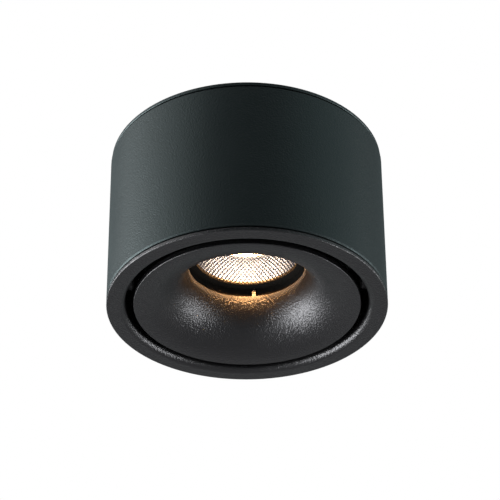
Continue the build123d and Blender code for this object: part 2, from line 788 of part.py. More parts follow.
def corner(levels, level, step):
    """Facet corner: odd levels are turned by half a pitch."""
    radius, height = levels[level]
    turn = half_pitch * (2 * step + level % 2)
    return (radius * cos(turn), radius * sin(turn), height)


def polygon(*points):
    """Flat face through the given corners."""
    return Face(Wire.make_polygon(points))


def facet_core():
    """Solid air of the faceted wall, run out past the mouth and the mirror band's foot."""
    levels = facet_levels()
    last = len(levels) - 1
    steps = range(facet_count)
    mouth_rim = [corner(levels, 0, step) for step in steps]
    outer_rim = [(x, y, z - reflector_flange) for x, y, z in mouth_rim]
    faces = [polygon(*outer_rim), polygon(*[corner(levels, last, step) for step in steps])]
    for step in steps:
        following = (step + 1) % facet_count
        faces.append(
            polygon(mouth_rim[step], mouth_rim[following], outer_rim[following], outer_rim[step])
        )
        faces.append(polygon(mouth_rim[step], mouth_rim[following], corner(levels, 1, step)))
        top_apex = step + last % 2
        faces.append(
            polygon(
                corner(levels, last, step),
                corner(levels, last, following),
                corner(levels, last - 1, top_apex),
            )
        )
        for level in range(last - 1):
            right = step + level % 2
            faces.append(
                polygon(
                    corner(levels, level, step),
                    corner(levels, level + 1, right),
                    corner(levels, level + 2, step),
                    corner(levels, level + 1, right - 1),
                )
            )
    return Solid(Shell(faces))


band_radius = barrel_radius_at(band_bottom_z) * cos(half_pitch) - band_step
band_top_radius = band_radius - mirror_band * tan(radians(band_taper))
with BuildPart() as bowl_air:
    add(facet_core())
    split(bisect_by=Plane.XY.offset(band_bottom_z), keep=Keep.BOTTOM)
    with BuildSketch(Plane.XZ):
        with BuildLine():
            Polyline(
                (0, band_bottom_z),
                (band_radius, band_bottom_z),
                (band_top_radius, bowl_top_z),
                (neck_radius, bowl_top_z),
                (neck_radius, holder_bottom_z + reflector_wall),
                (0, holder_bottom_z + reflector_wall),
                close=True,
            )
        make_face()
    revolve(axis=Axis.Z)
outer_curve = bowl_curve + reflector_wall
with BuildPart() as reflector:
    with BuildSketch(Plane.XZ):
        with BuildLine():
            wall = CenterArc(
                (barrel_centre, mouth_z),
                outer_curve,
                start_angle=0,
                arc_size=degrees(asin((band_bottom_z - mouth_z) / outer_curve)),
            )
            Polyline(
                wall @ 1,
                (band_top_radius + reflector_wall, holder_bottom_z),
                (0, holder_bottom_z),
                (0, mouth_z),
                wall @ 0,
            )
        make_face()
    revolve(axis=Axis.Z)
    with BuildSketch(Plane.XY.offset(mouth_z)):
        Circle(flange_radius)
    extrude(amount=reflector_flange)
    add(bowl_air.part, mode=Mode.SUBTRACT)
reflector.part.label = "reflector"
export_step(reflector.part, "parts/reflector.step")

# Chip-on-board LED: square carrier and the round phosphor below it
with BuildPart() as led_board:
    with BuildSketch(Plane.XY.offset(led_bottom_z)):
        Rectangle(led_board_size, led_board_size)
    extrude(amount=led_board_thickness)
    chamfer(led_board.edges().filter_by(Axis.Z), edge_break)
led_board.part.label = "led_board"
export_step(led_board.part, "parts/led_board.step")

with BuildPart() as led_phosphor:
    with BuildSketch(Plane.XY.offset(led_bottom_z)):
        Circle(phosphor_radius)
    extrude(amount=-phosphor_thickness)
    fillet(led_phosphor.edges().group_by(Axis.Z)[0], phosphor_thickness / 2)
led_phosphor.part.label = "led_phosphor"
export_step(led_phosphor.part, "parts/led_phosphor.step")

# Thermal pad between the LED board and the heat sink
with BuildPart() as thermal_pad:
    with BuildSketch(Plane.XY.offset(pad_bottom_z)):
        Rectangle(led_board_size, led_board_size)
    extrude(amount=thermal_pad_thickness)
thermal_pad.part.label = "thermal_pad"
export_step(thermal_pad.part, "parts/thermal_pad.step")

# LED holder: disc with a flared opening below and a square pocket for the board above
opening_radius = neck_radius + holder_opening_margin
pocket_size = led_board_size + 2 * seat_clearance
with BuildPart() as led_holder:
    with BuildSketch(Plane.XY.offset(holder_bottom_z)):
        Circle(cavity_radius - seat_clearance)
        Circle(opening_radius, mode=Mode.SUBTRACT)
    extrude(amount=holder_height)
    with Locations(Plane(origin=(0, 0, holder_bottom_z), z_dir=(0, 0, -1))):
        with PolarLocations(holder_screw_circle, 2):
            CounterSinkHole(
                holder_screw_radius + seat_clearance,
                holder_head_radius + 2 * seat_clearance,
                depth=2 * holder_height,
                counter_sink_angle=COUNTERSINK,
            )
    with BuildSketch(Plane.XY.offset(led_bottom_z)):
        Rectangle(pocket_size, pocket_size)
    extrude(amount=holder_height, mode=Mode.SUBTRACT)
    opening_edge = led_holder.edges().filter_by(GeomType.CIRCLE).group_by(Axis.Z)[0]
    chamfer(
        opening_edge.filter_by(lambda edge: abs(edge.radius - opening_radius) < seat_clearance)[0],
        holder_flare,
    )
led_holder.part.label = "led_holder"
export_step(led_holder.part, "parts/led_holder.step")

# Countersunk screws that clamp the holder to the heat sink, their heads just inside its face
holder_screw = countersunk_screw(holder_screw_radius, holder_head_radius, holder_screw_length)
with BuildPart() as holder_screws:
    with Locations(Plane(origin=(0, 0, holder_bottom_z + seat_clearance), z_dir=(0, 0, -1))):
        with PolarLocations(holder_screw_circle, 2):
            add(holder_screw)
holder_screws.part.label = "holder_screws"
export_step(holder_screws.part, "parts/holder_screws.step")

# Heat sink: finned cup over the reflector, domed to swing clear of the driver
fin_bottom_z = seat_z + sink_ear
crown_z = sink_base_z + sink_base
with BuildPart() as heat_sink:
    with BuildSketch(Plane.XZ):
        with BuildLine():
            Polyline(
                (0, sink_top_z),
                (0, sink_base_z),
                (cavity_radius, sink_base_z),
                (cavity_radius, seat_z),
                (cup_radius, seat_z),
                (cup_radius, fin_bottom_z),
                (fin_radius, fin_bottom_z),
                (fin_radius, sink_top_z),
                close=True,
            )
        make_face()
    revolve(axis=Axis.Z)
    with Locations((0, 0, pivot_z)):
        Sphere(dome_radius, mode=Mode.INTERSECT)
    with BuildSketch(Plane.XY.offset(fin_bottom_z)):
        with PolarLocations(cup_radius + fin_reach, fin_count):
            Rectangle(2 * fin_reach, fin_slot)
    extrude(amount=dome_radius, mode=Mode.SUBTRACT)
    with BuildSketch(Plane.XY.offset(crown_z)):
        with GridLocations(crown_pitch, crown_pitch, crown_slots, 1):
            Rectangle(crown_slot, 2 * fin_radius)
    extrude(amount=dome_radius, mode=Mode.SUBTRACT)
    with BuildSketch(Plane.XY.offset(seat_z)):
        with PolarLocations(post_circle_radius, post_count, start_angle=90):
            Circle(sink_ear_radius)
        with PolarLocations((post_circle_radius + cavity_radius) / 2, post_count, start_angle=90):
            Rectangle(post_circle_radius - cavity_radius, 2 * sink_ear_radius)
        Circle(cavity_radius, mode=Mode.SUBTRACT)
    extrude(amount=sink_ear)
    with BuildSketch(Plane.XY.offset(fin_bottom_z)):
        with PolarLocations(post_circle_radius, post_count, start_angle=90):
            Circle(sink_ear_radius)
    extrude(amount=dome_radius, mode=Mode.SUBTRACT)
    with Locations(Plane.XY.offset(fin_bottom_z)):
        with PolarLocations(post_circle_radius, post_count, start_angle=90):
            Hole(sink_screw_radius + seat_clearance, depth=2 * sink_ear)
    with Locations(Plane(origin=(0, 0, sink_base_z), z_dir=(0, 0, -1))):
        with PolarLocations(holder_screw_circle, 2):
            Hole(
                holder_screw_radius + seat_clearance,
                depth=holder_screw_length - holder_height + seat_clearance,
            )
heat_sink.part.label = "heat_sink"
export_step(heat_sink.part, "parts/heat_sink.step")

# Screws through the heat sink's ears into the funnel's posts
sink_screw = pan_screw(sink_screw_radius, sink_screw_head_radius, sink_screw_head_height, sink_screw_length)
with BuildPart() as heat_sink_screws:
    with Locations(Plane.XY.offset(fin_bottom_z)):
        with PolarLocations(post_circle_radius, post_count, start_angle=90):
            add(sink_screw)
heat_sink_screws.part.label = "heat_sink_screws"
export_step(heat_sink_screws.part, "parts/heat_sink_screws.step")
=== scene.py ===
# %% [markdown]
# # A surface-mounted ceiling light
#
# The object is a short black cylinder that hangs under a ceiling. Inside its bottom ring sits a head with a
# trumpet-shaped trim, a black collar, a faceted reflector and a lit LED. The head turns with the ring and tilts in it.
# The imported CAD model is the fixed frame: every piece made here sits where its solid sits, in metres.

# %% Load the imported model
import json
import math

import bmesh
import bpy
from mathutils import Matrix, Vector


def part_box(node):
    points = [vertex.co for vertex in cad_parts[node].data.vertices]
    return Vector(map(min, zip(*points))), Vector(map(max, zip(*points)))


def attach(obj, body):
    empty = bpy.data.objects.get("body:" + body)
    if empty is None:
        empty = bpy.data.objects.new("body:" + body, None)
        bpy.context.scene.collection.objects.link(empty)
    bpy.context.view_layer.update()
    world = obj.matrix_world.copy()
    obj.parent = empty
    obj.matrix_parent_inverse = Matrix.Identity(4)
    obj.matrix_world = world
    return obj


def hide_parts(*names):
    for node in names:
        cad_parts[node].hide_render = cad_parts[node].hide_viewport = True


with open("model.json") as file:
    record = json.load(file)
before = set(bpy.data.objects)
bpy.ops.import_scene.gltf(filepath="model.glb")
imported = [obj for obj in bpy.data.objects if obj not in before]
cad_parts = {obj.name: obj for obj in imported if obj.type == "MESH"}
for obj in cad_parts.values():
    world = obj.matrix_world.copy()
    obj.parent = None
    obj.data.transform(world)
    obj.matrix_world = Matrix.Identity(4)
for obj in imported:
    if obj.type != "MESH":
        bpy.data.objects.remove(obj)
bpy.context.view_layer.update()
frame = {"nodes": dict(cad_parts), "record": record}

nodes = frame["nodes"]
scene = bpy.context.scene
MM = 0.001

# %% [markdown]
# ## Camera
#
# The photograph looks up at the light from below and in front. A long lens keeps the cylinder's walls nearly
# parallel. The camera could be placed by eye. Here its aim and distance come from fitting the ellipses of the ring and
# of the top edge, because that fit also gives the light's proportions.

# %% Camera
LENS_MM = 156.25
SENSOR_MM = 36.0
CAMERA_DISTANCE = 745.4 * MM
LOOK_UP = math.radians(33.6)
ROLL = math.radians(-0.394)
aim = Vector((1.1, 0.0, -36.15)) * MM
sight = Vector((0.0, math.cos(LOOK_UP), math.sin(LOOK_UP)))

camera = bpy.data.objects.new("camera", bpy.data.cameras.new("camera"))
scene.collection.objects.link(camera)
camera.location = aim - sight * CAMERA_DISTANCE
turned = sight.to_track_quat("-Z", "Y").to_matrix().to_4x4() @ Matrix.Rotation(ROLL, 4, "Z")
camera.rotation_euler = turned.to_euler()
camera.data.lens = LENS_MM
camera.data.sensor_width = SENSOR_MM
camera.data.clip_start = 0.01
scene.camera = camera
print("camera at", [round(c, 3) for c in camera.location])

# %% [markdown]
# ## Small helpers
#
# Colours are written as sRGB hex values, as a paint chart gives them, while Blender works in linear light. Node trees
# are long lists of one step, so one function adds a node, sets it and links it. A third function starts a material
# and hands over the object coordinates that its pattern reads, and the last turns a real width into a pattern's scale.

# %% Helpers
def linear(hex_colour):
    """Linear RGBA of an sRGB hex colour."""
    channels = [int(hex_colour[i : i + 2], 16) / 255 for i in (1, 3, 5)]
    return [c / 12.92 if c <= 0.04045 else ((c + 0.055) / 1.055) ** 2.4 for c in channels] + [1.0]


def add_node(tree, kind, settings=None, inputs=None):
    """Add a node, set its properties and fill or link its inputs."""
    node = tree.nodes.new(kind)
    for name, value in (settings or {}).items():
        setattr(node, name, value)
    for name, value in (inputs or {}).items():
        if isinstance(value, bpy.types.NodeSocket):
            tree.links.new(value, node.inputs[name])
        else:
            node.inputs[name].default_value = value
    return node


def start_material(name):
    """New material: itself, its node tree, its shader and the object coordinates."""
    material = bpy.data.materials.new(name)
    material.use_nodes = True
    tree = material.node_tree
    place = add_node(tree, "ShaderNodeTexCoord").outputs["Object"]
    return material, tree, tree.nodes["Principled BSDF"], place


def per_mm(millimetres):
    """Texture scale of a pattern whose cells are this wide."""
    return 1 / (millimetres * MM)


print("one cell in 2 mm is a scale of", per_mm(2.0))

# %% [markdown]
# ## Studio
#
# A black object is drawn by what it mirrors. The photograph has a white ground, two soft boxes low at the sides and
# darkness in front, which leaves the wall dark in the middle and pale towards its flanks. A photographer sets up dark
# flags and grey cards for that, and so does this stage, but only reflections see them: they neither show in the
# picture nor shade anything. The world is white to the eye and to reflections. The floor is far below, as under a
# ceiling, and keeps the light's shadow.

# %% World
FILL_GREY = "#d4d4d4"  # what matt surfaces get from all round
scene.view_settings.view_transform = "Standard"
world = bpy.data.worlds.new("studio_air")
scene.world = world
world.use_nodes = True
tree = world.node_tree
tree.nodes.clear()
path = add_node(tree, "ShaderNodeLightPath")
seen = add_node(tree, "ShaderNodeMath", {"operation": "MAXIMUM"},
                {0: path.outputs["Is Camera Ray"], 1: path.outputs["Is Glossy Ray"]})
seen = add_node(tree, "ShaderNodeMath", {"operation": "MAXIMUM"},
                {0: seen.outputs[0], 1: path.outputs["Is Transmission Ray"]})
fill = add_node(tree, "ShaderNodeBackground", None, {"Color": linear(FILL_GREY), "Strength": 1.0})
white = add_node(tree, "ShaderNodeBackground", None, {"Color": linear("#ffffff"), "Strength": 1.0})
mix = add_node(tree, "ShaderNodeMixShader", None, {0: seen.outputs[0], 1: fill.outputs[0], 2: white.outputs[0]})
add_node(tree, "ShaderNodeOutputWorld", None, {"Surface": mix.outputs[0]})
print("world:", world.name, "fill", FILL_GREY)


# %% Floor, flag and cards
FLOOR_Z = -0.8
FLOOR_HALF = 12  # wide, to keep its corners out of views from above
FLOOR_CARD_Z = -0.78
CARD_PAINT = "#050505"


def stage_panel(name, corners, paint, glow="#000000", seen_by_camera=False):
    """Flat matt panel of the stage; a card that glows stands for one that a lamp lights."""
    material, _, shader, _ = start_material(name)
    shader.inputs["Base Color"].default_value = linear(paint)
    shader.inputs["Roughness"].default_value = 1.0
    shader.inputs["Specular IOR Level"].default_value = 0.0
    shader.inputs["Emission Color"].default_value = linear(glow)
    shader.inputs["Emission Strength"].default_value = 1.0
    mesh = bpy.data.meshes.new(name)
    mesh.from_pydata(corners, [], [tuple(range(len(corners)))])
    mesh.materials.append(material)
    panel = bpy.data.objects.new(name, mesh)
    scene.collection.objects.link(panel)
    panel.visible_camera = seen_by_camera
    panel.visible_shadow = seen_by_camera
    panel.visible_diffuse = seen_by_camera
    return panel


def upright(x0, y0, x1, y1, low, high):
    """Corners of an upright panel over a line on the floor."""
    return [(x0, y0, low), (x1, y1, low), (x1, y1, high), (x0, y0, high)]


def lying(x0, y0, x1, y1, z):
    """Corners of a level panel."""
    return [(x0, y0, z), (x1, y0, z), (x1, y1, z), (x0, y1, z)]


panels = [
    stage_panel("floor", lying(-FLOOR_HALF, -FLOOR_HALF, FLOOR_HALF, FLOOR_HALF, FLOOR_Z), "#f4f4f2",
                seen_by_camera=True),
    stage_panel("floor_card", lying(-1.2, -1.2, 1.2, 2.2, FLOOR_CARD_Z), CARD_PAINT, glow="#8b8b8e"),
    stage_panel("front_flag", upright(-0.9, -0.9, 0.9, -0.9, -0.6, 1.6), CARD_PAINT, glow="#4c5458"),
    stage_panel("right_card", upright(0.9, -0.9, 1.2, 0.4, 0.25, 1.9), CARD_PAINT, glow="#93a5a6"),
    stage_panel("right_back_card", upright(1.2, 0.5, 0.0, 1.2, -0.3, 1.9), CARD_PAINT, glow="#6c7778"),
    stage_panel("left_back_card", upright(0.0, 1.2, -1.1, 0.65, -0.3, 1.9), CARD_PAINT, glow="#6c7778"),
]
print("panels:", [panel.name for panel in panels])


# %% Soft boxes
LAMP_COLOUR = "#f2f3f6"
LAMP_AIM = Vector((0, 0, -0.04))  # low in the light's body


def soft_box(name, place, width, height, watts):
    """Upright rectangular lamp that faces the light."""
    lamp = bpy.data.lights.new(name, "AREA")
    lamp.shape = "RECTANGLE"
    lamp.energy = watts
    lamp.size = width
    lamp.size_y = height
    lamp.color = linear(LAMP_COLOUR)[:3]
    box = bpy.data.objects.new(name, lamp)
    scene.collection.objects.link(box)
    box.location = place
    box.rotation_euler = (LAMP_AIM - Vector(place)).to_track_quat("-Z", "Y").to_euler()


soft_box("left_soft_box", (-1.0, 0.12, -0.28), 0.8, 1.3, 34.0)
soft_box("right_soft_box", (1.0, 0.05, -0.25), 0.4, 0.6, 9.0)

# %% [markdown]
# ## Powder coats
#
# The tube, plate, ring and funnel are aluminium and steel with a matt black powder coat: dry paint powder that is
# baked until it melts into a skin of tiny bumps. The tube has a fine skin that reads as one soft gradient. The ring
# and funnel have a sand skin, whose grains sparkle one by one where a lamp mirrors in them. Powder creeps away from a
# sharp edge as it melts, so at the lip of the funnel's throat the skin is thin and smooth; there the coat is also
# painted paler, a painted glow that brightens the LED's light on the lip. Modelled grains would be millions of faces.
# One function makes both coats from a noise bump, and a slow noise varies their gloss as a sprayed layer does.

# %% Powder coats
CLOUD_MM = 14.0  # slow change of the sprayed layer
CLOUD_RANGE = (0.3, 0.7)  # values that the slow noise mostly takes
GLOSS_SPREAD = 0.02
FUNNEL_LIP_MM = -42.9  # height of the funnel's lip
LIP_HALF_MM = 0.4
LIP_FADE_MM = 1.3
LIP_GRAIN = 0.12  # share of the grain that is left there
# painted glow: the lip is coloured paler where the LED's light falls on it
LIP_PAINTED_GLOW = "#3e3e3e"


def powder_coat(name, dark, pale, grain_mm, height_mm, roughness, gloss, sheen, lip_mm=None):
    """Baked powder: grainy, slightly uneven in gloss; thin and smooth round a lip's height, with a painted paler glow.
    """
    material, tree, shader, place = start_material(name)
    grain = add_node(tree, "ShaderNodeTexNoise", None,
                     {"Vector": place, "Scale": per_mm(grain_mm), "Detail": 1.0, "Roughness": 0.5})
    cloud = add_node(tree, "ShaderNodeTexNoise", None, {"Vector": place, "Scale": per_mm(CLOUD_MM), "Detail": 2.0})
    shade = add_node(tree, "ShaderNodeMix", {"data_type": "RGBA"},
                     {0: grain.outputs["Fac"], 6: linear(dark), 7: linear(pale)})
    dull = add_node(tree, "ShaderNodeMapRange", None, {
        "Value": cloud.outputs["Fac"], "From Min": CLOUD_RANGE[0], "From Max": CLOUD_RANGE[1],
        "To Min": roughness - GLOSS_SPREAD, "To Max": roughness + GLOSS_SPREAD})
    colour, grain_and_glow_share = shade.outputs[2], 1.0
    if lip_mm is not None:
        level = add_node(tree, "ShaderNodeSeparateXYZ", None, {0: place}).outputs["Z"]
        level = add_node(tree, "ShaderNodeMath", {"operation": "SUBTRACT"}, {0: level, 1: lip_mm * MM}).outputs[0]
        away = add_node(tree, "ShaderNodeMath", {"operation": "ABSOLUTE"}, {0: level}).outputs[0]
        grain_and_glow_share = add_node(tree, "ShaderNodeMapRange", None, {
            "Value": away, "From Min": LIP_HALF_MM * MM, "From Max": (LIP_HALF_MM + LIP_FADE_MM) * MM,
            "To Min": LIP_GRAIN, "To Max": 1.0}).outputs[0]
        # painted glow: near the lip the colour turns to the paler one, where the LED lights it
        colour = add_node(tree, "ShaderNodeMix", {"data_type": "RGBA"},
                          {0: grain_and_glow_share, 6: linear(LIP_PAINTED_GLOW), 7: colour}).outputs[2]
    bump = add_node(tree, "ShaderNodeBump", None,
                    {"Strength": grain_and_glow_share, "Distance": height_mm * MM, "Height": grain.outputs["Fac"]})
    tree.links.new(colour, shader.inputs["Base Color"])
    tree.links.new(dull.outputs[0], shader.inputs["Roughness"])
    tree.links.new(bump.outputs["Normal"], shader.inputs["Normal"])
    shader.inputs["Specular IOR Level"].default_value = gloss
    shader.inputs["Specular Tint"].default_value = linear(sheen)
    return material


# The fine coat gives a soft cool gradient, the sand coat a black with sparkling highlights. The real grains are about
# 0.1 mm and 0.3 mm wide; both are drawn coarser so that the render shows them.
fine_coat = powder_coat("fine_black_powder_coat", "#080c0d", "#0d1213", 0.55, 0.11, 0.44, 0.5, "#e2ffff")
sand_coat = powder_coat("sand_black_powder_coat", "#060607", "#0c0c0d", 0.52, 0.21, 0.33, 0.8, "#fdfdff",
                        lip_mm=FUNNEL_LIP_MM)
finishes = {"black_coat": fine_coat, "trim_coat": sand_coat}
print("coats:", fine_coat.name, sand_coat.name)

# %% [markdown]
# ## Rubbers and plastics
#
# The grommet and friction ring are moulded EPDM rubber, the washers are turned nylon, the collar is a moulded band
# with a flock of short black fibres that swallows stray light, and the driver case, terminal block and LED holder
# are white PBT. Each could be one plain colour, but they differ in gloss and in how their skin was made, so each gets
# its own grain.

# %% Rubbers and plastics
SKIN_SPREAD = 0.05  # roughness changes by this much over the grain


def moulded(name, dark, pale, grain_mm, height_mm, roughness, gloss=0.5):
    """Moulded skin: two shades of one colour and a shallow grain."""
    material, tree, shader, place = start_material(name)
    grain = add_node(tree, "ShaderNodeTexNoise", None,
                     {"Vector": place, "Scale": per_mm(grain_mm), "Detail": 3.0, "Roughness": 0.6})
    shade = add_node(tree, "ShaderNodeMix", {"data_type": "RGBA"},
                     {0: grain.outputs["Fac"], 6: linear(dark), 7: linear(pale)})
    dull = add_node(tree, "ShaderNodeMapRange", None, {
        "Value": grain.outputs["Fac"], "To Min": roughness - SKIN_SPREAD, "To Max": roughness + SKIN_SPREAD})
    bump = add_node(tree, "ShaderNodeBump", None,
                    {"Strength": 1.0, "Distance": height_mm * MM, "Height": grain.outputs["Fac"]})
    tree.links.new(shade.outputs[2], shader.inputs["Base Color"])
    tree.links.new(dull.outputs[0], shader.inputs["Roughness"])
    tree.links.new(bump.outputs["Normal"], shader.inputs["Normal"])
    shader.inputs["Specular IOR Level"].default_value = gloss
    return material


# rubber: dull dark grey with hardly a highlight
finishes["black_rubber"] = moulded("moulded_epdm_rubber", "#161616", "#222222", 0.9, 0.02, 0.75)
# nylon: a black that stays darker than the coats beside it, so the seam reads as a shadow
finishes["black_nylon"] = moulded("turned_black_nylon", "#080808", "#0e0e0f", 1.6, 0.01, 0.6, gloss=0.25)
# flock: no gloss at all, and so little light comes back that only its edge reads
finishes["collar_plastic"] = moulded("flocked_black_plastic", "#1a1917", "#222120", 0.5, 0.03, 0.95, gloss=0.0)
# PBT: a warm white with a satin sheen
finishes["white_plastic"] = moulded("moulded_white_pbt", "#dedcd4", "#e9e8e2", 1.2, 0.01, 0.45)
# silicone pad: matt grey, like putty
finishes["thermal_grey"] = moulded("silicone_thermal_pad", "#83868c", "#9497a0", 0.7, 0.02, 0.85)
print("moulded finishes:", len(finishes) - 2)

# %% [markdown]
# ## Metals
#
# Screws and clips are zinc-plated or blackened steel, the terminals are brass and the heat sink is cast aluminium. A
# metal is the reflection of its surroundings, tinted, so what tells them apart is colour, roughness and the marks of
# making. One noise gives all of those marks, and stretched it gives lines.

# %% Metals
MARK_SPREAD = 0.06  # roughness changes by this much over the marks


def metal(name, dark, pale, mark_mm, roughness, stretch=(1.0, 1.0, 1.0), height_mm=0.004):
    """Metal with marks of its making: spots, or lines where the marks are stretched."""
    material, tree, shader, place = start_material(name)
    along = add_node(tree, "ShaderNodeMapping", None, {"Vector": place, "Scale": stretch})
    marks = add_node(tree, "ShaderNodeTexNoise", None,
                     {"Vector": along.outputs[0], "Scale": per_mm(mark_mm), "Detail": 3.0, "Roughness": 0.6})
    shade = add_node(tree, "ShaderNodeMix", {"data_type": "RGBA"},
                     {0: marks.outputs["Fac"], 6: linear(dark), 7: linear(pale)})
    dull = add_node(tree, "ShaderNodeMapRange", None, {
        "Value": marks.outputs["Fac"], "To Min": roughness - MARK_SPREAD, "To Max": roughness + MARK_SPREAD})
    bump = add_node(tree, "ShaderNodeBump", None,
                    {"Strength": 1.0, "Distance": height_mm * MM, "Height": marks.outputs["Fac"]})
    tree.links.new(shade.outputs[2], shader.inputs["Base Color"])
    tree.links.new(dull.outputs[0], shader.inputs["Roughness"])
    tree.links.new(bump.outputs["Normal"], shader.inputs["Normal"])
    shader.inputs["Metallic"].default_value = 1.0
    return material


# brass: yellow, with fine turning lines
finishes["brass"] = metal("turned_brass", "#b9924e", "#d0ac66", 0.8, 0.3, stretch=(1.0, 1.0, 4.0))
# zinc plate: a pale bluish grey with soft clouds
finishes["zinc_steel"] = metal("zinc_plated_steel", "#a4a8ae", "#c2c5c9", 2.5, 0.34)
# blackened steel: nearly black, but its edges still glint
finishes["black_steel"] = metal("blackened_steel", "#0d0d0e", "#171718", 1.2, 0.42)
# cast aluminium: light grey with a slightly rough skin
finishes["sink_aluminium"] = metal("cast_aluminium", "#96999d", "#b4b7ba", 0.9, 0.5, height_mm=0.02)
print("finishes so far:", len(finishes))

# %% [markdown]
# ## Mirror
#
# The reflector is moulded plastic with a film of aluminium. The tool for its facets is blasted and their film is a
# cool smoky grey, so their glints run together and the warm LED looks white in them. The band and the lid above keep
# the tool's polish and plain aluminium, and hold a small sharp picture of the LED. The film ends just above the mouth,
# and the bare edge below it shows the LED's own gold. These could be three materials, but height over the mouth
# tells them apart in one.

# %% Mirror
FACET_HAZE = 0.38
BAND_HAZE = 0.1
FACET_TONES = ("#4a5d86", "#50638c")
BAND_TONES = ("#c2c3c3", "#cccdcd")
EDGE_TONE = "#444444"
CLOUDING_MM = 3.0  # faint clouds in the film
BAND_FADE = 0.1 * MM
EDGE_FADE = (0.5 * MM, 0.9 * MM)  # the bare edge turns into film between these heights
WALL_HEIGHT = 10.35 * MM  # faceted part of the reflector's wall
cup_low, cup_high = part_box("reflector")
wall_top_z = cup_low.z + WALL_HEIGHT

mirror, tree, shader, place = start_material("aluminised_mirror")
clouds = add_node(tree, "ShaderNodeTexNoise", None, {"Vector": place, "Scale": per_mm(CLOUDING_MM), "Detail": 3.0})
height = add_node(tree, "ShaderNodeSeparateXYZ", None, {0: place}).outputs["Z"]
above = add_node(tree, "ShaderNodeMapRange", None, {
    "Value": height, "From Min": wall_top_z - BAND_FADE, "From Max": wall_top_z + BAND_FADE}).outputs[0]
filmed = add_node(tree, "ShaderNodeMapRange", None, {
    "Value": height, "From Min": cup_low.z + EDGE_FADE[0], "From Max": cup_low.z + EDGE_FADE[1]}).outputs[0]
tones = []
for dark, pale in (FACET_TONES, BAND_TONES):
    tones.append(add_node(tree, "ShaderNodeMix", {"data_type": "RGBA"},
                          {0: clouds.outputs["Fac"], 6: linear(dark), 7: linear(pale)}).outputs[2])
film = add_node(tree, "ShaderNodeMix", {"data_type": "RGBA"}, {0: above, 6: tones[0], 7: tones[1]}).outputs[2]
film = add_node(tree, "ShaderNodeMix", {"data_type": "RGBA"}, {0: filmed, 6: linear(EDGE_TONE), 7: film}).outputs[2]
haze = add_node(tree, "ShaderNodeMapRange", None, {"Value": above, "To Min": FACET_HAZE, "To Max": BAND_HAZE})
tree.links.new(film, shader.inputs["Base Color"])
tree.links.new(haze.outputs[0], shader.inputs["Roughness"])
shader.inputs["Metallic"].default_value = 1.0
finishes["reflector_metal"] = mirror
print("mirror: haze", FACET_HAZE, "below", round(wall_top_z / MM, 2), "mm,", BAND_HAZE, "above")

# %% [markdown]
# ## Circuit boards
#
# The driver's board is green solder mask over copper tracks, which show as slightly raised paler lines. The LED's
# carrier is an aluminium board with white lacquer. A brick pattern gives the tracks, because they run square to each
# other with gaps of about a millimetre.

# %% Circuit boards
# solder mask: a glossy green, paler where a track lies under it
material, tree, shader, place = start_material("green_solder_mask")
tracks = add_node(tree, "ShaderNodeTexBrick", {"offset": 0.5}, {
    "Vector": place, "Color1": linear("#1b5a33"), "Color2": linear("#20663a"), "Mortar": linear("#3a8450"),
    "Scale": 1.0, "Mortar Size": 0.3 * MM, "Brick Width": 4.0 * MM, "Row Height": 1.3 * MM})
raised = add_node(tree, "ShaderNodeBump", None, {"Distance": 0.03 * MM, "Height": tracks.outputs["Fac"]})
tree.links.new(tracks.outputs["Color"], shader.inputs["Base Color"])
tree.links.new(raised.outputs["Normal"], shader.inputs["Normal"])
shader.inputs["Roughness"].default_value = 0.35
finishes["board_green"] = material
# lacquer: a bright white that throws the LED's light back
finishes["led_carrier"] = moulded("white_lacquered_aluminium", "#e2e0d8", "#eeece6", 1.8, 0.004, 0.38)
print("boards:", material.name, finishes["led_carrier"].name)

# %% [markdown]
# ## Lit phosphor
#
# The LED is a yellow silicone disc full of phosphor over rows of blue chips, and it glows warm white. In the
# photograph everything that it lights turns amber, while the reflector, far brighter than a camera can hold, goes
# white. A lamp in the neck could light the cup too, but the disc itself would stay dark, and the exported model would
# have no lamp. So the disc glows, in a saturated amber with a high strength: bright pieces clip to white and dim ones
# stay gold.

# %% Lit phosphor
CHIP_PITCH_MM = 1.25
GLOW_STRENGTH = 300.0
material, tree, shader, place = start_material("lit_phosphor_silicone")
chips = add_node(tree, "ShaderNodeTexVoronoi", {"distance": "CHEBYCHEV"},
                 {"Vector": place, "Scale": per_mm(CHIP_PITCH_MM), "Randomness": 0.0})
glow = add_node(tree, "ShaderNodeMix", {"data_type": "RGBA"},
                {0: chips.outputs["Distance"], 6: linear("#ffbe7a"), 7: linear("#ffb670")})
tree.links.new(glow.outputs[2], shader.inputs["Emission Color"])
shader.inputs["Base Color"].default_value = linear("#eec25e")
shader.inputs["Roughness"].default_value = 0.3
shader.inputs["Emission Strength"].default_value = GLOW_STRENGTH
finishes["phosphor"] = material
print("finishes:", len(finishes))

# %% [markdown]
# ## Dressing the solids
#
# The CAD solids have the right shapes, so they stay and only get these finishes. The record names a material slot
# for each node. Going by that name, and not by a list of pieces, dresses every node once.

# %% Dress the CAD nodes
for subpart in frame["record"]["subparts"]:
    node = nodes[subpart["node"]]
    node.data.materials.clear()
    node.data.materials.append(finishes[subpart["material_slot"]])

# %% [markdown]
# ## Faceted reflector
#
# The cup around the LED is a deep bowl. Its barrel-shaped wall is pressed with small pillows in a diamond lattice, so
# that each one throws its own picture of the LED and the beam comes out even. A sculpted wall would take thousands of
# hand-placed faces, while one rule gives them all: a flat lattice is bent round the barrel and each cell is
# lifted. Geometry Nodes keep that rule open to change, with the sizes as named inputs.

# %% Sizes of the bowl
FACETS_ROUND = 84
FACET_LEVELS = 12
FACET_CUTS = 4
FACET_CROWD = 0.33  # facets at the mouth are taller than those at the top
FACET_WELD = 0.002 * MM
DOME_SCALE = 16.0  # the parabolas of a pillow peak at 1/4 each, so their product at 1/16
BOWL = {
    "Mouth Radius": 18.15 * MM,
    "Mouth Height": cup_low.z,
    "Barrel Curve": 50.0 * MM,
    "Wall Height": WALL_HEIGHT,
    "Pillow Height": 0.12 * MM,
}
print("bowl:", {name: round(size / MM, 2) for name, size in BOWL.items()})


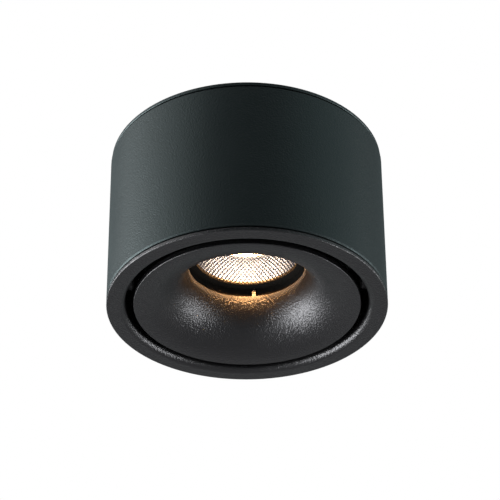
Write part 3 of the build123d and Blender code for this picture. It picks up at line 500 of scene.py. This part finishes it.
# %% Facet lattice as a node tree
def facet_tree(material):
    """Lattice of pillows on a barrel. Its two grid directions run up to the right and up to the left."""
    tree = bpy.data.node_groups.new("facet_lattice", "GeometryNodeTree")
    for name in BOWL:
        tree.interface.new_socket(name, in_out="INPUT", socket_type="NodeSocketFloat")
    tree.interface.new_socket("Geometry", in_out="OUTPUT", socket_type="NodeSocketGeometry")
    given = add_node(tree, "NodeGroupInput").outputs

    # a square sheet of cells, each cut finer so that it can be lifted
    span = FACETS_ROUND + FACET_LEVELS / 2
    side = int(span * FACET_CUTS) + 1
    sheet = add_node(tree, "GeometryNodeMeshGrid", None,
                     {"Size X": span, "Size Y": span, "Vertices X": side, "Vertices Y": side})
    flat = add_node(tree, "ShaderNodeSeparateXYZ", None, {0: add_node(tree, "GeometryNodeInputPosition").outputs[0]})
    right = add_node(tree, "ShaderNodeMath", {"operation": "ADD"}, {0: flat.outputs["X"], 1: span / 2})
    left = add_node(tree, "ShaderNodeMath", {"operation": "ADD"}, {0: flat.outputs["Y"], 1: span / 2 - FACETS_ROUND})
    kept = add_node(tree, "GeometryNodeCaptureAttribute")
    kept.capture_items.new("FLOAT", "right")
    kept.capture_items.new("FLOAT", "left")
    tree.links.new(sheet.outputs["Mesh"], kept.inputs["Geometry"])
    tree.links.new(right.outputs[0], kept.inputs["right"])
    tree.links.new(left.outputs[0], kept.inputs["left"])
    a, b = kept.outputs["right"], kept.outputs["left"]
    level = add_node(tree, "ShaderNodeMath", {"operation": "ADD"}, {0: a, 1: b}).outputs[0]
    turn = add_node(tree, "ShaderNodeMath", {"operation": "SUBTRACT"}, {0: a, 1: b}).outputs[0]

    # only the strip that goes once round stays; the test leaves a quarter of a cut for rounding
    edge = 1 / (4 * FACET_CUTS)
    low = add_node(tree, "FunctionNodeCompare", {"operation": "LESS_THAN"}, {"A": level, "B": -edge})
    high = add_node(tree, "FunctionNodeCompare", {"operation": "GREATER_THAN"}, {"A": level, "B": FACET_LEVELS + edge})
    before = add_node(tree, "FunctionNodeCompare", {"operation": "LESS_THAN"}, {"A": turn, "B": -edge})
    after = add_node(tree, "FunctionNodeCompare", {"operation": "GREATER_THAN"},
                     {"A": turn, "B": 2 * FACETS_ROUND - edge})
    ends = add_node(tree, "FunctionNodeBooleanMath", {"operation": "OR"}, {0: low.outputs[0], 1: high.outputs[0]})
    sides = add_node(tree, "FunctionNodeBooleanMath", {"operation": "OR"}, {0: before.outputs[0], 1: after.outputs[0]})
    spare = add_node(tree, "FunctionNodeBooleanMath", {"operation": "OR"}, {0: ends.outputs[0], 1: sides.outputs[0]})
    strip = add_node(tree, "GeometryNodeDeleteGeometry", {"domain": "FACE"},
                     {"Geometry": kept.outputs["Geometry"], "Selection": spare.outputs[0]})

    # the barrel: an arc up the wall, as height and radius; tiers crowd towards its top
    lean = add_node(tree, "ShaderNodeMath", {"operation": "DIVIDE"},
                    {0: given["Wall Height"], 1: given["Barrel Curve"]}).outputs[0]
    lean = add_node(tree, "ShaderNodeMath", {"operation": "ARCSINE"}, {0: lean}).outputs[0]
    share = add_node(tree, "ShaderNodeMath", {"operation": "DIVIDE", "use_clamp": True},
                     {0: level, 1: FACET_LEVELS}).outputs[0]
    crowd = add_node(tree, "ShaderNodeMath", {"operation": "MULTIPLY_ADD"},
                     {0: share, 1: -FACET_CROWD, 2: 1 + FACET_CROWD}).outputs[0]
    tier = add_node(tree, "ShaderNodeMath", {"operation": "MULTIPLY"}, {0: share, 1: crowd}).outputs[0]
    arc = add_node(tree, "ShaderNodeMath", {"operation": "MULTIPLY"}, {0: tier, 1: lean}).outputs[0]
    rise = add_node(tree, "ShaderNodeMath", {"operation": "SINE"}, {0: arc}).outputs[0]
    height = add_node(tree, "ShaderNodeMath", {"operation": "MULTIPLY_ADD"},
                      {0: rise, 1: given["Barrel Curve"], 2: given["Mouth Height"]}).outputs[0]
    reach = add_node(tree, "ShaderNodeMath", {"operation": "COSINE"}, {0: arc}).outputs[0]
    reach = add_node(tree, "ShaderNodeMath", {"operation": "SUBTRACT"}, {0: reach, 1: 1.0}).outputs[0]
    radius = add_node(tree, "ShaderNodeMath", {"operation": "MULTIPLY_ADD"},
                      {0: reach, 1: given["Barrel Curve"], 2: given["Mouth Radius"]}).outputs[0]

    # each cell swells towards the axis, as a parabola in both directions; the points on the two rims stay put
    swell = []
    for way in (a, b):
        part = add_node(tree, "ShaderNodeMath", {"operation": "FRACT"}, {0: way}).outputs[0]
        rest = add_node(tree, "ShaderNodeMath", {"operation": "SUBTRACT"}, {0: 1.0, 1: part}).outputs[0]
        swell.append(add_node(tree, "ShaderNodeMath", {"operation": "MULTIPLY"}, {0: part, 1: rest}).outputs[0])
    dome = add_node(tree, "ShaderNodeMath", {"operation": "MULTIPLY"}, {0: swell[0], 1: swell[1]}).outputs[0]
    rim = add_node(tree, "ShaderNodeMath", {"operation": "PINGPONG"}, {0: share, 1: 0.5}).outputs[0]
    rim = add_node(tree, "ShaderNodeMath", {"operation": "GREATER_THAN"}, {0: rim, 1: edge / FACET_LEVELS}).outputs[0]
    dome = add_node(tree, "ShaderNodeMath", {"operation": "MULTIPLY"}, {0: dome, 1: rim}).outputs[0]
    dome = add_node(tree, "ShaderNodeMath", {"operation": "MULTIPLY"}, {0: dome, 1: DOME_SCALE}).outputs[0]
    lift = add_node(tree, "ShaderNodeMath", {"operation": "MULTIPLY"},
                    {0: dome, 1: given["Pillow Height"]}).outputs[0]
    inward = add_node(tree, "ShaderNodeMath", {"operation": "SUBTRACT"}, {0: radius, 1: lift}).outputs[0]

    # round the axis
    angle = add_node(tree, "ShaderNodeMath", {"operation": "MULTIPLY"},
                     {0: turn, 1: math.pi / FACETS_ROUND}).outputs[0]
    cosine = add_node(tree, "ShaderNodeMath", {"operation": "COSINE"}, {0: angle}).outputs[0]
    sine = add_node(tree, "ShaderNodeMath", {"operation": "SINE"}, {0: angle}).outputs[0]
    x = add_node(tree, "ShaderNodeMath", {"operation": "MULTIPLY"}, {0: inward, 1: cosine}).outputs[0]
    y = add_node(tree, "ShaderNodeMath", {"operation": "MULTIPLY"}, {0: inward, 1: sine}).outputs[0]
    spot = add_node(tree, "ShaderNodeCombineXYZ", None, {0: x, 1: y, 2: height})
    bent = add_node(tree, "GeometryNodeSetPosition", None, {"Geometry": strip.outputs[0], "Position": spot.outputs[0]})

    # soft inside each pillow, sharp between pillows
    soft = add_node(tree, "GeometryNodeSetShadeSmooth", None, {"Geometry": bent.outputs[0], "Shade Smooth": True})
    crease = add_node(tree, "ShaderNodeMath", {"operation": "MINIMUM"}, {0: swell[0], 1: swell[1]}).outputs[0]
    crease = add_node(tree, "FunctionNodeCompare", {"operation": "LESS_THAN"}, {"A": crease, "B": edge / 2}).outputs[0]
    creased = add_node(tree, "GeometryNodeSetShadeSmooth", {"domain": "EDGE"},
                       {"Geometry": soft.outputs[0], "Selection": crease, "Shade Smooth": False})
    joined = add_node(tree, "GeometryNodeMergeByDistance", None,
                      {"Geometry": creased.outputs[0], "Distance": FACET_WELD})
    real = add_node(tree, "GeometryNodeRealizeInstances", None, {"Geometry": joined.outputs[0]})
    dressed = add_node(tree, "GeometryNodeSetMaterial", None, {"Geometry": real.outputs[0], "Material": material})
    add_node(tree, "NodeGroupOutput", None, {"Geometry": dressed.outputs[0]})
    return tree


# %% Grow the facets
def grow(name, tree, sizes, material):
    """Plain mesh that a node tree makes, as a new object at the origin, in one material."""
    seed = bpy.data.objects.new(name, bpy.data.meshes.new(name))
    scene.collection.objects.link(seed)
    grower = seed.modifiers.new("grow", "NODES")
    grower.node_group = tree
    for item in tree.interface.items_tree:
        if item.in_out == "INPUT":
            grower[item.identifier] = sizes[item.name]
    ready = seed.evaluated_get(bpy.context.evaluated_depsgraph_get())
    mesh = bpy.data.meshes.new_from_object(ready)
    mesh.materials.clear()
    mesh.materials.append(material)
    seed.modifiers.remove(grower)
    seed.data = mesh
    return seed


reflector = grow("reflector_bowl", facet_tree(mirror), BOWL, mirror)
print("facets:", FACETS_ROUND * FACET_LEVELS, "faces:", len(reflector.data.polygons))

# %% [markdown]
# ## The bowl's shell
#
# The facets are one skin, and the real cup has a wall: a flange at the mouth, an outer side, and above the facets a
# smooth mirror band and a lid with the neck hole for the LED. Thickening the skin would press the facets through to the
# outside. A lathe makes the plain wall from one profile. It has as many steps round as the facets' rims have points,
# so both weld into one closed piece.

# %% Close the bowl with its shell
SHARP_ANGLE = math.radians(30)
BLUNT_ANGLE = math.radians(175)  # a quad with such a corner lies along a rim and is cut in two
SHELL_WELD = 0.004 * MM


def weld_lathe(piece, profile, sides):
    """Turn a profile of radius and height about Z and weld it to a piece's open rims."""
    shape = bmesh.new()
    shape.from_mesh(piece.data)
    rings = []
    for radius, height in profile:
        turns = [2 * math.pi * step / sides for step in range(sides)]
        rings.append([shape.verts.new((radius * math.cos(t), radius * math.sin(t), height)) for t in turns])
    for low, high in zip(rings, rings[1:]):
        for step in range(sides):
            after = (step + 1) % sides
            shape.faces.new((low[step], low[after], high[after], high[step])).smooth = True
    bmesh.ops.remove_doubles(shape, verts=shape.verts, dist=SHELL_WELD)
    blunt = [face for face in shape.faces if any(corner.calc_angle() > BLUNT_ANGLE for corner in face.loops)]
    bmesh.ops.triangulate(shape, faces=blunt, quad_method="SHORT_EDGE")
    bmesh.ops.recalc_face_normals(shape, faces=shape.faces)
    for edge in shape.edges:
        if edge.is_manifold and edge.calc_face_angle() > SHARP_ANGLE:
            edge.smooth = False
    open_edges = sum(not edge.is_manifold for edge in shape.edges)
    shape.to_mesh(piece.data)
    shape.free()
    return open_edges


mouth_radius, mouth_z, curve = BOWL["Mouth Radius"], BOWL["Mouth Height"], BOWL["Barrel Curve"]
wall_top_radius = mouth_radius - curve + math.sqrt(curve**2 - WALL_HEIGHT**2)
FLANGE_RADIUS = cup_high.x
SHELL_WALL = 1.0 * MM
NECK_RADIUS = 6.0 * MM
BAND_FOOT_RADIUS = 16.83 * MM
BAND_TOP_RADIUS = 16.18 * MM
shell = [
    (mouth_radius, mouth_z),
    (FLANGE_RADIUS, mouth_z),
    (FLANGE_RADIUS, mouth_z + SHELL_WALL),
    (mouth_radius + SHELL_WALL, mouth_z + SHELL_WALL),
    (wall_top_radius + SHELL_WALL, wall_top_z),
    (BAND_TOP_RADIUS + SHELL_WALL, cup_high.z),
    (NECK_RADIUS, cup_high.z),
    (NECK_RADIUS, cup_high.z - SHELL_WALL),
    (BAND_TOP_RADIUS, cup_high.z - SHELL_WALL),
    (BAND_FOOT_RADIUS, wall_top_z),
    (wall_top_radius, wall_top_z),
]
open_edges = weld_lathe(reflector, shell, 2 * FACETS_ROUND * FACET_CUTS)
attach(reflector, "head")
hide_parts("reflector")
print("reflector:", len(reflector.data.polygons), "faces,", open_edges, "open edges")
